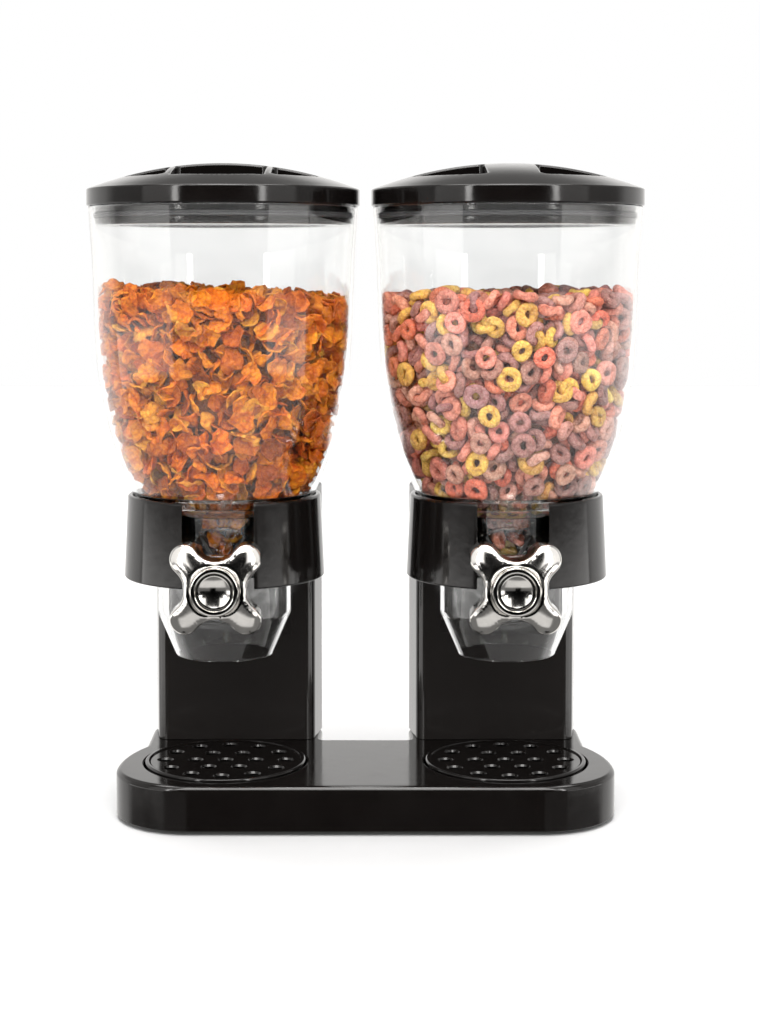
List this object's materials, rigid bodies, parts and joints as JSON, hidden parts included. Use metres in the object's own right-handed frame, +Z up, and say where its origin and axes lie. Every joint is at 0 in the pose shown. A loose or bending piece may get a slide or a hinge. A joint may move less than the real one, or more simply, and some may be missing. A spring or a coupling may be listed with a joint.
{
  "type": "cereal dispenser",
  "caption": "Double countertop cereal dispenser: clear lidded canisters with chrome-knob portion wheels and clear spouts on a black stand with crumb trays.",
  "frame": {"origin": "under the middle of the object's box, on the plane its feet rest on", "axes": "+Z up, the knobs and trays face -Y, +X to the viewer's right when facing the knobs"},
  "size_m": [0.337, 0.172, 0.3951],
  "materials": {
    "black_gloss": "high-gloss moulded black ABS with fine swirl marks",
    "black_satin": "satin black moulded plastic, fine texture",
    "clear_plastic": "crystal-clear moulded styrene, polished",
    "chrome": "bright chromed plastic",
    "steel": "zinc-plated screw steel",
    "foot_rubber": "soft black rubber",
    "silicone": "soft grey food-grade silicone",
    "white_nylon": "natural nylon",
    "flake_cereal": "toasted, blistered corn flakes",
    "ring_cereal": "puffed oat rings in pink, coral, mauve and yellow"
  },
  "bodies": {
    "stand": {"base_shell": "black_gloss", "base_plate": "black_satin", "foot_1": "foot_rubber", "foot_2": "foot_rubber", "foot_3": "foot_rubber", "foot_4": "foot_rubber", "base_screw_1": "steel", "base_screw_2": "steel", "base_screw_3": "steel", "base_screw_4": "steel", "base_screw_5": "steel", "base_screw_6": "steel", "column_left": "black_gloss", "column_back_left": "black_satin", "column_screw_left_1": "steel", "column_screw_left_2": "steel", "collar_left": "black_gloss", "column_right": "black_gloss", "column_back_right": "black_satin", "column_screw_right_1": "steel", "column_screw_right_2": "steel", "collar_right": "black_gloss"},
    "canister_left": {"canister_left": "clear_plastic", "funnel_left": "clear_plastic", "wheel_housing_left": "clear_plastic", "housing_cover_left": "clear_plastic", "spout_left": "clear_plastic", "bush_front_left": "white_nylon", "bush_rear_left": "white_nylon"},
    "wheel_left": {"spindle_left": "white_nylon", "wheel_hub_left": "white_nylon", "wheel_paddles_left": "silicone", "knob_left": "chrome", "knob_cap_left": "chrome", "knob_screw_left": "steel"},
    "lid_left": {"lid_cap_left": "black_gloss", "lid_plug_left": "black_satin", "lid_gasket_left": "silicone"},
    "crumb_dish_left": {"crumb_dish_left": "black_satin"},
    "crumb_grid_left": {"crumb_grid_left": "black_gloss"},
    "canister_right": {"canister_right": "clear_plastic", "funnel_right": "clear_plastic", "wheel_housing_right": "clear_plastic", "housing_cover_right": "clear_plastic", "spout_right": "clear_plastic", "bush_front_right": "white_nylon", "bush_rear_right": "white_nylon"},
    "wheel_right": {"spindle_right": "white_nylon", "wheel_hub_right": "white_nylon", "wheel_paddles_right": "silicone", "knob_right": "chrome", "knob_cap_right": "chrome", "knob_screw_right": "steel"},
    "lid_right": {"lid_cap_right": "black_gloss", "lid_plug_right": "black_satin", "lid_gasket_right": "silicone"},
    "crumb_dish_right": {"crumb_dish_right": "black_satin"},
    "crumb_grid_right": {"crumb_grid_right": "black_gloss"}
  },
  "joints": [
    {"name": "canister_left_lift", "type": "slide", "parent": "stand", "child": "canister_left", "axis": [0, 0, 1], "range_m": [0, 0.12]},
    {"name": "lid_left_lift", "type": "slide", "parent": "canister_left", "child": "lid_left", "axis": [0, 0, 1], "range_m": [0, 0.05]},
    {"name": "wheel_left_spin", "type": "hinge", "parent": "canister_left", "child": "wheel_left", "pos_m": [-0.086, 0, 0.148], "axis": [0, 1, 0], "continuous": true},
    {"name": "crumb_dish_left_lift", "type": "slide", "parent": "stand", "child": "crumb_dish_left", "axis": [0, 0, 1], "range_m": [0, 0.03]},
    {"name": "crumb_grid_left_lift", "type": "slide", "parent": "crumb_dish_left", "child": "crumb_grid_left", "axis": [0, 0, 1], "range_m": [0, 0.02]},
    {"name": "canister_right_lift", "type": "slide", "parent": "stand", "child": "canister_right", "axis": [0, 0, 1], "range_m": [0, 0.12]},
    {"name": "lid_right_lift", "type": "slide", "parent": "canister_right", "child": "lid_right", "axis": [0, 0, 1], "range_m": [0, 0.05]},
    {"name": "wheel_right_spin", "type": "hinge", "parent": "canister_right", "child": "wheel_right", "pos_m": [0.086, 0, 0.148], "axis": [0, 1, 0], "continuous": true},
    {"name": "crumb_dish_right_lift", "type": "slide", "parent": "stand", "child": "crumb_dish_right", "axis": [0, 0, 1], "range_m": [0, 0.03]},
    {"name": "crumb_grid_right_lift", "type": "slide", "parent": "crumb_dish_right", "child": "crumb_grid_right", "axis": [0, 0, 1], "range_m": [0, 0.02]}
  ]
}
